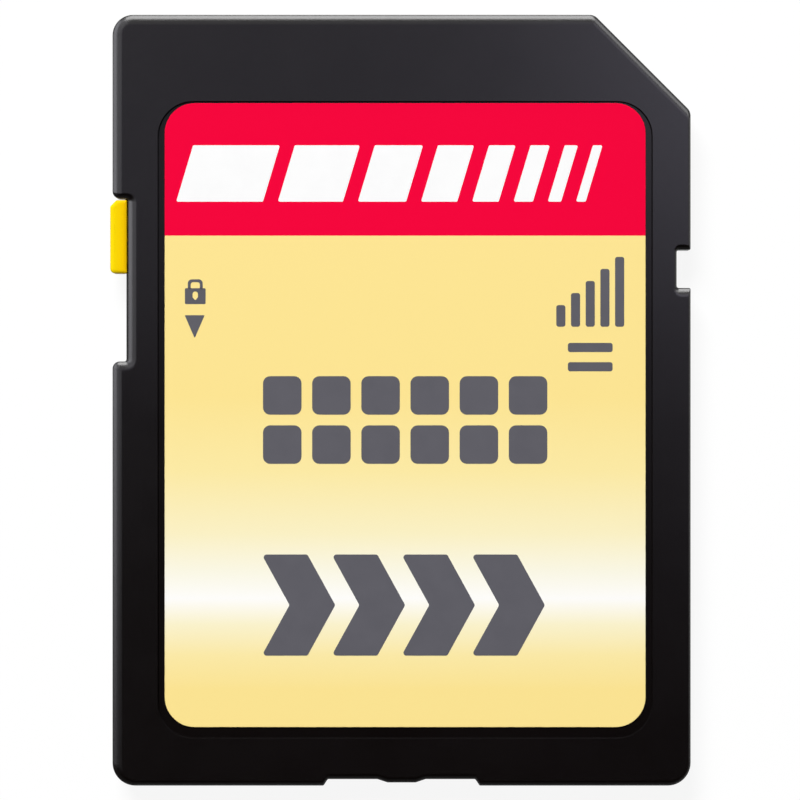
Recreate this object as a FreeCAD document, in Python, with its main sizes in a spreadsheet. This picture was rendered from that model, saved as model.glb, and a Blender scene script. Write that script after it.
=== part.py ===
"""A full-size flash memory card: two welded covers, a circuit board with its chips, nine contacts,
a sliding write lock and a paper label. Millimetres, label face up, contacts towards +Y and -Z.
The origin is the middle of the card's outline, on the plane that the back face rests on."""

import FreeCAD
import Part
import Sketcher
import math
import os
from types import SimpleNamespace

SIZES = {
    # The whole card. The rails are the thinner edges that a socket guides.
    "card_width": 24.0,
    "card_length": 32.0,
    "card_thickness": 2.1,
    "rail_thickness": 1.4,
    "rail_width": 0.75,
    "corner_cut": 4.0,
    "nose_radius": 0.85,
    "tail_radius": 0.95,
    "cut_radius": 0.45,
    "panel_radius": 0.55,
    "face_round": 0.25,
    "back_round": 0.15,
    "nose_ramp": 0.35,
    # Walls of the two covers, which meet halfway up the rails.
    "front_depth": 0.7,
    "front_wall": 0.4,
    "rear_wall": 0.35,
    "side_wall": 1.0,
    "nose_wall": 0.9,
    "cut_wall": 0.5,
    "cavity_radius": 0.4,
    "notch_radius": 0.1,
    # Gate recess in the trailing edge, with the trimmed gate standing in it.
    "gate_width": 6.48,
    "gate_depth": 0.27,
    "gate_slope": 0.18,
    "stub_width": 1.16,
    "stub_height": 0.14,
    "stub_slope": 0.42,
    # Label and the shallow recess that it is stuck into.
    "label_nose_margin": 3.67,
    "label_tail_margin": 2.43,
    "label_left_margin": 2.17,
    "label_right_margin": 1.87,
    "label_radius": 1.25,
    "label_thickness": 0.08,
    "recess_depth": 0.12,
    "recess_nose_gap": 0.06,
    "recess_side_gap": 0.27,
    "recess_tail_gap": 0.45,
    "recess_radius": 1.45,
    # Write lock: its notch in the left edge, the slot behind that, and the slider.
    "lock_notch_top": 7.63,
    "lock_notch_length": 6.76,
    "lock_mouth_radius": 0.3,
    "front_notch_depth": 0.64,
    "rear_notch_depth": 0.53,
    "slot_height": 0.34,
    "slider_length": 3.04,
    "slider_proud": 0.1,
    "slider_sink": 0.1,
    "slider_round": 0.28,
    "slider_edge": 0.08,
    "slider_gap": 0.04,
    "slider_end_gap": 0.06,
    "foot_width": 0.45,
    "foot_catch": 0.1,
    # Latch notch in the right edge.
    "latch_top": 9.76,
    "latch_length": 1.58,
    "latch_depth": 0.58,
    # Contacts and the windows that bare them.
    "contact_right_margin": 2.625,
    "contact_left_margin": 2.25,
    "sixth_to_seventh": 2.425,
    "seventh_to_eighth": 1.7,
    "pad_width": 1.6,
    "narrow_pad_width": 1.1,
    "pad_length": 4.2,
    "pad_thickness": 0.035,
    "pad_nose_gap": 1.4,
    "pad_cut_gap": 1.27,
    "pad_radius": 0.2,
    "window_side_gap": 0.15,
    "window_tail_gap": 0.3,
    # Circuit board, the ledge that carries it and the bosses that hold it down.
    "board_thickness": 0.3,
    "board_gap": 0.1,
    "board_ledge": 0.7,
    "boss_diameter": 0.8,
    "boss_inset": 1.0,
    # Chips. Both packages reach up to the same headroom under the front cover.
    "chip_headroom": 0.065,
    "chip_margin": 0.5,
    "chip_spacing": 0.8,
    "dimple_diameter": 0.8,
    "dimple_depth": 0.06,
    "dimple_inset": 1.1,
    "flash_width": 12.0,
    "flash_length": 15.4,
    "flash_standoff": 0.05,
    "lead_row_margin": 0.25,
    "lead_pitch": 0.5,
    "lead_width": 0.2,
    "lead_thickness": 0.1,
    "lead_shoulder": 0.22,
    "lead_knee": 0.12,
    "lead_reach": 0.8,
    "controller_size": 6.0,
    "controller_shift": 2.5,
    # Chip capacitors and resistors.
    "passive_length": 1.0,
    "passive_width": 0.5,
    "passive_pitch": 1.3,
    "capacitor_height": 0.35,
    "resistor_height": 0.3,
    "terminal_length": 0.22,
    "terminal_proud": 0.02,
}

CAPACITOR_COUNT = 4
RESISTOR_COUNT = 4
PAST = 1.0  # how far the sketch of a cut runs on outside the solid
CLOSE = 1e-4

doc = FreeCAD.newDocument("MemoryCard")
sheet = doc.addObject("Spreadsheet::Sheet", "Sizes")
for row, (alias, number) in enumerate(SIZES.items(), start=1):
    sheet.set(f"A{row}", alias)
    sheet.set(f"B{row}", str(number))
    sheet.setAlias(f"B{row}", alias)
doc.recompute()


class Size:
    """A length: its value in millimetres, and the sheet formula that gives it."""

    def __init__(self, value, formula):
        self.value = value
        self.formula = formula

    def __add__(self, other):
        other = as_size(other)
        return Size(self.value + other.value, f"({self.formula} + {other.formula})")

    def __sub__(self, other):
        other = as_size(other)
        return Size(self.value - other.value, f"({self.formula} - {other.formula})")

    def __mul__(self, other):
        other = as_size(other)
        return Size(self.value * other.value, f"({self.formula} * {other.formula})")

    def __truediv__(self, other):
        other = as_size(other)
        return Size(self.value / other.value, f"({self.formula} / {other.formula})")

    def __neg__(self):
        return Size(-self.value, f"(-{self.formula})")


def as_size(number):
    return number if isinstance(number, Size) else Size(float(number), repr(float(number)))


def whole(size):
    """How many full times a quotient goes."""
    return Size(math.floor(size.value + CLOSE), f"floor({size.formula} + {CLOSE!r})")


s = SimpleNamespace(**{alias: Size(float(sheet.get(alias)), f"Sizes.{alias}") for alias in SIZES})
ZERO = as_size(0)

# Places that several pieces share. Heights are above the resting plane.
left = -s.card_width / 2
right = s.card_width / 2
tail = -s.card_length / 2
nose = s.card_length / 2
label_face = s.card_thickness
rail_plane = s.card_thickness - s.rail_thickness
parting = s.card_thickness - s.front_depth
ceiling = s.card_thickness - s.front_wall
board_seat = rail_plane + s.pad_thickness
board_top = board_seat + s.board_thickness
lock_high = nose - s.lock_notch_top
lock_low = lock_high - s.lock_notch_length
latch_high = nose - s.latch_top
latch_low = latch_high - s.latch_length
slot_half = s.slot_height / 2
foot_inner = left + s.side_wall + s.slider_gap + s.foot_width


# Sketches

def bind(feature, name, size):
    feature.setExpression(name, as_size(size).formula)


def new_body(label):
    body = doc.addObject("PartDesign::Body", label)
    body.Label = label
    return body


def origin_feature(body, role):
    return next(f for f in body.Origin.OriginFeatures if f.Role == role)


def new_sketch(body, name, offset=ZERO, role="XY_Plane"):
    """A sketch on one of the body's own origin planes, moved along the plane's normal."""
    sketch = body.newObject("Sketcher::SketchObject", name)
    sketch.AttachmentSupport = [(origin_feature(body, role), "")]
    sketch.MapMode = "FlatFace"
    bind(sketch, "AttachmentOffset.Base.z", offset)
    return sketch


def fix_point(sketch, edge, point, x, y):
    """Holds one point of an edge at its sheet formulas, measured from the sketch's origin."""
    for kind, size in (("DistanceX", x), ("DistanceY", y)):
        index = sketch.addConstraint(Sketcher.Constraint(kind, -1, 1, edge, point, size.value))
        bind(sketch, f"Constraints[{index}]", size)


def rounded_corner(before, corner, after, radius):
    """Where a round corner's arc starts and ends, its middle, and whether it turns anticlockwise."""
    back = (before - corner).normalize()
    ahead = (after - corner).normalize()
    half_angle = back.getAngle(ahead) / 2
    reach = radius / math.tan(half_angle)
    middle = corner + (back + ahead).normalize() * (radius / math.sin(half_angle))
    return corner + back * reach, corner + ahead * reach, middle, ahead.cross(back).z > 0


def draw_outline(sketch, corners):
    """A closed loop of straight edges. A corner is (x, y), or (x, y, radius) where it is round."""
    first = sketch.GeometryCount
    count = len(corners)
    points = [FreeCAD.Vector(c[0].value, c[1].value, 0) for c in corners]
    starts = list(points)
    ends = list(points)
    arcs = {}
    for i, corner in enumerate(corners):
        if len(corner) == 3:
            around = points[i - 1], points[i], points[(i + 1) % count]
            ends[i], starts[i], middle, anticlockwise = rounded_corner(*around, corner[2].value)
            arcs[i] = middle, anticlockwise
    for i in range(count):
        sketch.addGeometry(Part.LineSegment(starts[i], ends[(i + 1) % count]), False)

    for i, corner in enumerate(corners):
        edge = first + i
        edge_before = first + (i - 1) % count
        if i not in arcs:
            sketch.addConstraint(Sketcher.Constraint("Coincident", edge_before, 2, edge, 1))
            fix_point(sketch, edge, 1, corner[0], corner[1])
            continue
        middle, anticlockwise = arcs[i]
        rim = [ends[i], starts[i]] if anticlockwise else [starts[i], ends[i]]
        angles = [math.atan2(point.y - middle.y, point.x - middle.x) for point in rim]
        circle = Part.Circle(middle, FreeCAD.Vector(0, 0, 1), corner[2].value)
        arc = sketch.addGeometry(Part.ArcOfCircle(circle, *angles), False)
        apex = sketch.addGeometry(Part.Point(points[i]), True)
        arc_start, arc_end = (1, 2) if anticlockwise else (2, 1)
        sketch.addConstraint(Sketcher.Constraint("Tangent", edge_before, 2, arc, arc_start))
        sketch.addConstraint(Sketcher.Constraint("Tangent", arc, arc_end, edge, 1))
        sketch.addConstraint(Sketcher.Constraint("PointOnObject", apex, 1, edge_before))
        sketch.addConstraint(Sketcher.Constraint("PointOnObject", apex, 1, edge))
        fix_point(sketch, apex, 1, corner[0], corner[1])
        index = sketch.addConstraint(Sketcher.Constraint("Radius", arc, corner[2].value))
        bind(sketch, f"Constraints[{index}]", corner[2])


def box_corners(x0, y0, x1, y1, radius=None):
    corners = [(x0, y0), (x1, y0), (x1, y1), (x0, y1)]
    return [(x, y, radius) for x, y in corners] if radius else corners


def draw_circle(sketch, x, y, diameter):
    centre = FreeCAD.Vector(x.value, y.value, 0)
    circle = Part.Circle(centre, FreeCAD.Vector(0, 0, 1), diameter.value / 2)
    edge = sketch.addGeometry(circle, False)
    fix_point(sketch, edge, 3, x, y)
    index = sketch.addConstraint(Sketcher.Constraint("Diameter", edge, diameter.value))
    bind(sketch, f"Constraints[{index}]", diameter)


# Features

def pad(body, sketch, height, downward=False):
    """Adds the sketch's area, upwards along its normal unless it is turned downward."""
    feature = body.newObject("PartDesign::Pad", "Pad")
    feature.Profile = sketch
    feature.Reversed = downward
    bind(feature, "Length", height)
    doc.recompute()
    return feature


def pocket(body, sketch, depth, upward=False):
    """Cuts the sketch's area away, downwards against its normal unless it is turned upward."""
    before = body.Shape.Volume
    feature = body.newObject("PartDesign::Pocket", "Pocket")
    feature.Profile = sketch
    feature.Reversed = upward
    bind(feature, "Length", depth)
    doc.recompute()
    if body.Shape.Volume > before - CLOSE:
        raise RuntimeError(f"{body.Label}: {sketch.Name} cuts nothing")
    return feature


def fillet(body, radius, wanted):
    """Rounds the edges of the body so far that the test picks."""
    base = body.Tip
    edges = [f"Edge{i}" for i, edge in enumerate(base.Shape.Edges, start=1) if wanted(edge)]
    if not edges:
        raise RuntimeError(f"{body.Label}: no edges to round")
    feature = body.newObject("PartDesign::Fillet", "Fillet")
    feature.Base = (base, edges)
    bind(feature, "Radius", radius)
    doc.recompute()
    return feature


def upright_at(*corners):
    """Picks the upright edges that stand on the given (x, y) corners."""

    def wanted(edge):
        if len(edge.Vertexes) != 2:
            return False
        start = edge.Vertexes[0].Point
        end = edge.Vertexes[1].Point
        if math.hypot(start.x - end.x, start.y - end.y) > CLOSE:
            return False
        return any(math.hypot(start.x - x.value, start.y - y.value) < CLOSE for x, y in corners)

    return wanted


def level_at(height):
    """Picks the edges that lie wholly at one height."""

    def wanted(edge):
        box = edge.BoundBox
        return abs(box.ZMin - height.value) < CLOSE and abs(box.ZMax - height.value) < CLOSE

    return wanted


# Outlines that both covers share

def cover_outline(lock_depth):
    """The card's edge seen from the label side, anticlockwise from the left of the tail."""
    return [
        (left, tail, s.tail_radius),
        (right, tail, s.tail_radius),
        (right, latch_low),
        (right - s.latch_depth, latch_low, s.notch_radius),
        (right - s.latch_depth, latch_high, s.notch_radius),
        (right, latch_high),
        (right, nose - s.corner_cut, s.cut_radius),
        (right - s.corner_cut, nose, s.cut_radius),
        (left, nose, s.nose_radius),
        (left, lock_high, s.lock_mouth_radius),
        (left + lock_depth, lock_high, s.notch_radius),
        (left + lock_depth, lock_low, s.notch_radius),
        (left, lock_low, s.lock_mouth_radius),
    ]


def cavity_outline(gap=ZERO):
    """The room inside the walls, or what fits in it with a gap all round."""
    side = s.side_wall + gap
    slant = (s.cut_wall + gap) * math.sqrt(2)
    front = s.nose_wall + gap
    corners = [
        (left + side, tail + side),
        (right - side, tail + side),
        (right - side, nose - s.corner_cut + side - slant),
        (right - s.corner_cut + front - slant, nose - front),
        (left + side, nose - front),
    ]
    return [(x, y, s.cavity_radius) for x, y in corners]


def cut_gate(body, low, high):
    """The gate recess, right through one cover's tail wall."""
    half = s.gate_width / 2
    floor = tail + s.gate_depth
    stub_foot = s.stub_width / 2 + s.stub_slope
    stub_top = floor - s.stub_height
    right_side = [
        (half, tail - PAST),
        (half, tail),
        (half - s.gate_slope, floor),
        (stub_foot, floor),
        (s.stub_width / 2, stub_top),
    ]
    left_side = [(-x, y) for x, y in reversed(right_side)]
    sketch = new_sketch(body, "gate", low)
    draw_outline(sketch, right_side + left_side)
    pocket(body, sketch, high - low, upward=True)


def cut_slot(body, upward):
    """One cover's half of the slot behind the lock notch, which the slider's stem runs in."""
    sketch = new_sketch(body, "slot", parting)
    inside = left + s.side_wall + PAST
    draw_outline(sketch, box_corners(left - PAST, lock_low, inside, lock_high))
    pocket(body, sketch, slot_half, upward=upward)


# Front cover: the label face, with its recess, and the upper half of the walls

def label_box(radius, nose_gap=ZERO, side_gap=ZERO, tail_gap=ZERO):
    return box_corners(
        left + s.label_left_margin - side_gap,
        tail + s.label_tail_margin - tail_gap,
        right - s.label_right_margin + side_gap,
        nose - s.label_nose_margin + nose_gap,
        radius,
    )


def make_front_cover():
    body = new_body("front_cover")
    outline = new_sketch(body, "outline", parting)
    draw_outline(outline, cover_outline(s.front_notch_depth))
    pad(body, outline, s.front_depth)
    fillet(body, s.face_round, level_at(label_face))

    recess = new_sketch(body, "recess", label_face)
    gaps = s.recess_nose_gap, s.recess_side_gap, s.recess_tail_gap
    draw_outline(recess, label_box(s.recess_radius, *gaps))
    pocket(body, recess, s.recess_depth)

    cavity = new_sketch(body, "cavity", parting)
    draw_outline(cavity, cavity_outline())
    pocket(body, cavity, ceiling - parting, upward=True)

    bosses = new_sketch(body, "bosses", ceiling)
    boss_tail = tail + s.side_wall + s.boss_inset
    boss_nose = nose - s.nose_wall - s.boss_inset
    boss_left = left + s.side_wall + s.boss_inset
    draw_circle(bosses, boss_left, boss_tail, s.boss_diameter)
    draw_circle(bosses, -boss_left, boss_tail, s.boss_diameter)
    draw_circle(bosses, boss_left, boss_nose, s.boss_diameter)
    draw_circle(bosses, right - s.corner_cut - s.boss_inset, boss_nose, s.boss_diameter)
    pad(body, bosses, ceiling - board_top, downward=True)

    cut_slot(body, upward=True)
    cut_gate(body, parting, label_face)
    return body


# Contacts: the ninth lies beside the cut corner, and one to eight follow it across the card

def contact_places():
    """(number, middle x, width, leading end y) of each contact."""
    ninth = right - s.contact_right_margin
    eighth = left + s.contact_left_margin
    seventh = eighth + s.seventh_to_eighth
    sixth = seventh + s.sixth_to_seventh
    pitch = (ninth - sixth) / 6
    lead = nose - s.pad_nose_gap
    cut_edge = nose - s.corner_cut + s.contact_right_margin - s.pad_width / 2
    places = [(i, ninth - pitch * i, s.pad_width, lead) for i in range(1, 7)]
    places.append((7, seventh, s.narrow_pad_width, lead))
    places.append((8, eighth, s.narrow_pad_width, lead))
    places.append((9, ninth, s.pad_width, cut_edge - s.pad_cut_gap))
    return places


def make_contact(number, middle, width, lead):
    body = new_body(f"contact_pad_{number}")
    half = width / 2
    sketch = new_sketch(body, "land", rail_plane)
    draw_outline(sketch, box_corners(middle - half, lead - s.pad_length, middle + half, lead, s.pad_radius))
    pad(body, sketch, s.pad_thickness)
    return body


# Rear cover: rails, the raised back panel, and the comb of windows over the contacts

def make_rear_cover():
    body = new_body("rear_cover")
    outline = new_sketch(body, "outline", rail_plane)
    draw_outline(outline, cover_outline(s.rear_notch_depth))
    pad(body, outline, parting - rail_plane)

    panel_left = left + s.rail_width
    panel_right = right - s.rail_width
    panel = new_sketch(body, "panel")
    draw_outline(panel, [
        (panel_left, tail, s.panel_radius),
        (panel_right, tail, s.panel_radius),
        (panel_right, nose - s.corner_cut + s.rail_width),
        (right - s.corner_cut, nose, s.cut_radius),
        (panel_left, nose, s.panel_radius),
    ])
    pad(body, panel, rail_plane)
    fillet(body, s.back_round, level_at(ZERO))

    # The leading edge of the panel is bevelled, so that the ribs ride into a socket.
    ramp = new_sketch(body, "ramp", left, role="YZ_Plane")
    draw_outline(ramp, [
        (nose - s.nose_ramp, ZERO),
        (nose - s.nose_ramp, ZERO - PAST),
        (nose + PAST, ZERO - PAST),
        (nose + PAST, s.nose_ramp),
        (nose, s.nose_ramp),
    ])
    pocket(body, ramp, s.card_width, upward=True)

    cavity = new_sketch(body, "cavity", parting)
    draw_outline(cavity, cavity_outline())
    pocket(body, cavity, parting - board_seat)

    ledge = s.side_wall + s.board_ledge
    window_ends = [lead - s.pad_length - s.window_tail_gap for _, _, _, lead in contact_places()]
    relief = new_sketch(body, "relief", board_seat)
    relief_end = window_ends[-1] - s.board_ledge
    draw_outline(relief, box_corners(left + ledge, tail + ledge, right - ledge, relief_end))
    pocket(body, relief, board_seat - s.rear_wall)

    windows = new_sketch(body, "windows")
    for (_, middle, width, _), end in zip(contact_places(), window_ends):
        half = width / 2 + s.window_side_gap
        draw_outline(windows, box_corners(middle - half, end, middle + half, nose + PAST))
    pocket(body, windows, board_seat, upward=True)

    cut_slot(body, upward=False)
    cut_gate(body, ZERO, parting)
    return body


# Write lock slider: a knob outside the notch wall, a stem through the slot and a foot behind it

def make_lock_slider():
    body = new_body("lock_slider")
    low = rail_plane + s.slider_sink
    high = label_face - s.slider_sink
    stem_low = parting - slot_half + s.slider_gap
    stem_high = parting + slot_half - s.slider_gap
    foot_low = parting - slot_half - s.foot_catch
    foot_high = ceiling - s.slider_gap
    foot_outer = left + s.side_wall + s.slider_gap
    rear_stop = left + s.rear_notch_depth - s.slider_gap
    front_stop = left + s.front_notch_depth - s.slider_gap
    knob = left - s.slider_proud
    high_end = lock_high - s.slider_end_gap
    low_end = high_end - s.slider_length

    profile = new_sketch(body, "profile", -high_end, role="XZ_Plane")
    draw_outline(profile, [
        (knob, low),
        (rear_stop, low),
        (rear_stop, stem_low),
        (foot_outer, stem_low),
        (foot_outer, foot_low),
        (foot_inner, foot_low),
        (foot_inner, foot_high),
        (foot_outer, foot_high),
        (foot_outer, stem_high),
        (front_stop, stem_high),
        (front_stop, high),
        (knob, high),
    ])
    pad(body, profile, s.slider_length)
    fillet(body, s.slider_round, upright_at((knob, low_end), (knob, high_end)))
    fillet(body, s.slider_edge, level_at(high))
    fillet(body, s.slider_edge, level_at(low))
    return body


# Label: one sheet with round corners, stuck to the floor of the recess

def make_front_label():
    body = new_body("front_label")
    sketch = new_sketch(body, "sheet", label_face - s.recess_depth)
    draw_outline(sketch, label_box(s.label_radius))
    pad(body, sketch, s.label_thickness)
    return body


# Circuit board: fills the cavity, with a step in its left edge for the slider's foot

def make_circuit_board():
    body = new_body("circuit_board")
    corners = cavity_outline(s.board_gap)
    board_left = corners[0][0]
    step = foot_inner + s.board_gap
    step_high = lock_high + s.board_gap
    step_low = lock_low - s.board_gap
    sketch = new_sketch(body, "outline", board_seat)
    stepped = [(board_left, step_high), (step, step_high), (step, step_low), (board_left, step_low)]
    draw_outline(sketch, corners + stepped)
    pad(body, sketch, s.board_thickness)
    return body


# Chips and passives stand on the board, each built about its own middle and then placed

def place(body, x, y, quarter_turn=False):
    for name, size in (("x", x), ("y", y), ("z", board_top)):
        bind(body, f"Placement.Base.{name}", size)
    if quarter_turn:
        body.Placement.Rotation = FreeCAD.Rotation(FreeCAD.Vector(0, 0, 1), 90)
    doc.recompute()


def centred_box(width, length):
    return box_corners(-width / 2, -length / 2, width / 2, length / 2)


chip_top = ceiling - board_top - s.chip_headroom
flash_overall = s.flash_length + s.lead_reach * 2
flash_y = tail + s.side_wall + s.board_gap + s.chip_margin + flash_overall / 2
controller_y = flash_y + flash_overall / 2 + s.chip_spacing + s.controller_size / 2


def cut_first_pin_dimple(body, width, length):
    sketch = new_sketch(body, "dimple", chip_top)
    draw_circle(sketch, s.dimple_inset - width / 2, length / 2 - s.dimple_inset, s.dimple_diameter)
    pocket(body, sketch, s.dimple_depth)


def make_flash_chip():
    body = new_body("flash_chip")
    package = new_sketch(body, "package", s.flash_standoff)
    draw_outline(package, centred_box(s.flash_width, s.flash_length))
    pad(body, package, chip_top - s.flash_standoff)
    cut_first_pin_dimple(body, s.flash_width, s.flash_length)

    # One gull-wing lead at each end, then as many beside it as the package's width holds.
    side = s.flash_length / 2
    root = side - s.lead_thickness
    shoulder = side + s.lead_shoulder
    knee = shoulder + s.lead_knee
    toe = side + s.lead_reach
    middle = chip_top / 2
    wing = [
        (root, middle),
        (shoulder, middle),
        (knee, ZERO),
        (toe, ZERO),
        (toe, s.lead_thickness),
        (knee + s.lead_thickness, s.lead_thickness),
        (shoulder + s.lead_thickness, middle + s.lead_thickness),
        (root, middle + s.lead_thickness),
    ]
    spaces = whole((s.flash_width - s.lead_row_margin * 2) / s.lead_pitch)
    row_half = s.lead_pitch * spaces / 2
    leads = new_sketch(body, "leads", -row_half - s.lead_width / 2, role="YZ_Plane")
    draw_outline(leads, wing)
    draw_outline(leads, [(-y, z) for y, z in wing])
    first_leads = pad(body, leads, s.lead_width)
    row = body.newObject("PartDesign::LinearPattern", "lead_row")
    row.Originals = [first_leads]
    row.Direction = (origin_feature(body, "X_Axis"), [""])
    bind(row, "Occurrences", spaces + 1)
    bind(row, "Length", row_half * 2)
    body.Tip = row
    doc.recompute()
    place(body, ZERO, flash_y)
    return body


def make_controller_chip():
    body = new_body("controller_chip")
    package = new_sketch(body, "package")
    draw_outline(package, centred_box(s.controller_size, s.controller_size))
    pad(body, package, chip_top)
    cut_first_pin_dimple(body, s.controller_size, s.controller_size)
    place(body, s.controller_shift, controller_y)
    return body


def make_passive(label, height, x, y, quarter_turn):
    """A ceramic chip with a metal cap at each end that stands a little proud of it."""
    body = new_body(label)
    ceramic = new_sketch(body, "ceramic", s.terminal_proud)
    draw_outline(ceramic, centred_box(s.passive_length - s.terminal_proud, s.passive_width))
    pad(body, ceramic, height)
    end = s.passive_length / 2
    half = s.passive_width / 2 + s.terminal_proud
    caps = new_sketch(body, "caps")
    draw_outline(caps, box_corners(-end, -half, s.terminal_length - end, half))
    draw_outline(caps, box_corners(end - s.terminal_length, -half, end, half))
    pad(body, caps, height + s.terminal_proud * 2)
    place(body, x, y, quarter_turn)
    return body


def make_capacitors():
    """A column on the right of the controller, two at each of its supply corners."""
    x = s.controller_shift + s.controller_size / 2 + s.chip_spacing + s.passive_length / 2
    first = controller_y - s.passive_pitch * ((CAPACITOR_COUNT - 1) / 2)
    for i in range(CAPACITOR_COUNT):
        make_passive(f"capacitor_{i + 1}", s.capacitor_height, x, first + s.passive_pitch * i, False)


def make_resistors():
    """A row on the left of the controller, in the contacts' signal lines."""
    last = s.controller_shift - s.controller_size / 2 - s.chip_spacing - s.passive_width / 2
    for i in range(RESISTOR_COUNT):
        make_passive(f"resistor_{i + 1}", s.resistor_height, last - s.passive_pitch * i, controller_y, True)


make_front_cover()
make_rear_cover()
make_lock_slider()
make_front_label()
make_circuit_board()
for contact in contact_places():
    make_contact(*contact)
make_flash_chip()
make_controller_chip()
make_capacitors()
make_resistors()
doc.recompute()

failed = [o.Label for o in doc.Objects if "Invalid" in o.State or "Error" in o.State]
if failed:
    raise RuntimeError(f"failed features: {failed}")
bodies = [o for o in doc.Objects if o.TypeId == "PartDesign::Body"]
for body in bodies:
    if body.Shape.isNull() or not body.Shape.isValid() or len(body.Shape.Solids) != 1:
        raise RuntimeError(f"{body.Label} is not one valid solid")
os.makedirs("parts", exist_ok=True)
for body in bodies:
    body.Shape.exportStep(f"parts/{body.Label}.step")
travel = s.lock_notch_length - s.slider_length - s.slider_end_gap * 2
print(f"{len(bodies)} pieces, lock travel {travel.value:.2f} mm")
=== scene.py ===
import math

import bmesh
import bpy
from mathutils import Matrix, Vector


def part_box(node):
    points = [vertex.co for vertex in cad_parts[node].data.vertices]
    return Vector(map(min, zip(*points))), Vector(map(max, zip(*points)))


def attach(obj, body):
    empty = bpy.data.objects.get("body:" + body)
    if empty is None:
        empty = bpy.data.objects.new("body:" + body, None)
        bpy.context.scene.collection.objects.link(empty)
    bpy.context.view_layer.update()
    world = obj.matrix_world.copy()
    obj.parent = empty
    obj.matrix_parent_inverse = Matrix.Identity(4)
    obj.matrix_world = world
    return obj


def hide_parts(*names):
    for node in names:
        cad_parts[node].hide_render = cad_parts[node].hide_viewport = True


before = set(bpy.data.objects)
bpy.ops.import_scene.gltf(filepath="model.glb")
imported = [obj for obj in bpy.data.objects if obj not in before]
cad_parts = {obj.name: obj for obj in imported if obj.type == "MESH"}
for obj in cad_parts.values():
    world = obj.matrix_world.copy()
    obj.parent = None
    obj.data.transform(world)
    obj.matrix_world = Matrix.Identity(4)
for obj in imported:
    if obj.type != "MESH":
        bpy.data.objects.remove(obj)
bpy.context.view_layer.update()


# Rear cover: the tray that carries the board, with guide rails, a raised back panel and a comb of
# windows over the contacts. Black ABS with a fine spark-eroded grain, moulded in one piece. Pieces
# are drawn in millimetres, seen from the label side, and become metres when they are finished.

MM = 0.001


def box_mm(node):
    """A node's lowest and highest corners in millimetres."""
    low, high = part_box(node)
    return low / MM, high / MM


(left, tail, _), (right, nose, seam) = box_mm("rear_cover")
label_face = box_mm("front_cover")[1].z
rail_plane = box_mm("contact_pad_1")[0].z
board_seat = box_mm("circuit_board")[0].z
corner_cut = 4.0
tail_radius = 0.95
nose_radius = 0.85
cut_radius = 0.45
lock_from_nose = 7.63
lock_length = 6.76
lock_mouth_radius = 0.3
rear_lock_depth = 0.53
latch_from_nose = 9.76
latch_length = 1.58
latch_depth = 0.58
latch_mouth_radius = 0.06
notch_radius = 0.1
side_wall = 1.0
slot_half = 0.17
past = 1.0  # how far a cut runs on outside the piece
lock_high = nose - lock_from_nose
lock_low = lock_high - lock_length
latch_high = nose - latch_from_nose
latch_low = latch_high - latch_length


def gate_corners():
    """The shallow pocket in the trailing edge, with the trimmed gate standing in it."""
    pocket_half = 3.24
    pocket_slope = 0.18
    pocket_depth = 0.27
    pocket_radius = 0.08
    stub_half = 0.58
    stub_slope = 0.42
    stub_height = 0.14
    stub_radius = 0.15
    pocket_floor = tail + pocket_depth
    right_half = [
        (stub_half, pocket_floor - stub_height, stub_radius),
        (stub_half + stub_slope, pocket_floor, stub_radius),
        (pocket_half - pocket_slope, pocket_floor, pocket_radius),
        (pocket_half, tail, pocket_radius),
    ]
    return [(-x, y, radius) for x, y, radius in reversed(right_half)] + right_half


def card_outline(lock_depth):
    """Corners (x, y, radius) of the card's edge, anticlockwise from the left of the tail."""
    return [
        (left, tail, tail_radius),
        *gate_corners(),
        (right, tail, tail_radius),
        (right, latch_low, latch_mouth_radius),
        (right - latch_depth, latch_low, notch_radius),
        (right - latch_depth, latch_high, notch_radius),
        (right, latch_high, latch_mouth_radius),
        (right, nose - corner_cut, cut_radius),
        (right - corner_cut, nose, cut_radius),
        (left, nose, nose_radius),
        (left, lock_high, lock_mouth_radius),
        (left + lock_depth, lock_high, notch_radius),
        (left + lock_depth, lock_low, notch_radius),
        (left, lock_low, lock_mouth_radius),
    ]


def cavity_outline():
    """The room inside the walls of both covers."""
    radius = 0.4
    nose_wall = 0.9
    cut_wall = 0.5
    slant = cut_wall * math.sqrt(2)
    return [
        (left + side_wall, tail + side_wall, radius),
        (right - side_wall, tail + side_wall, radius),
        (right - side_wall, nose - corner_cut + side_wall - slant, radius),
        (right - corner_cut + nose_wall - slant, nose - nose_wall, radius),
        (left + side_wall, nose - nose_wall, radius),
    ]


def box_outline(x0, y0, x1, y1, radius):
    """Corners of a rectangle, anticlockwise from its lowest."""
    return [(x0, y0, radius), (x1, y0, radius), (x1, y1, radius), (x0, y1, radius)]


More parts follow.
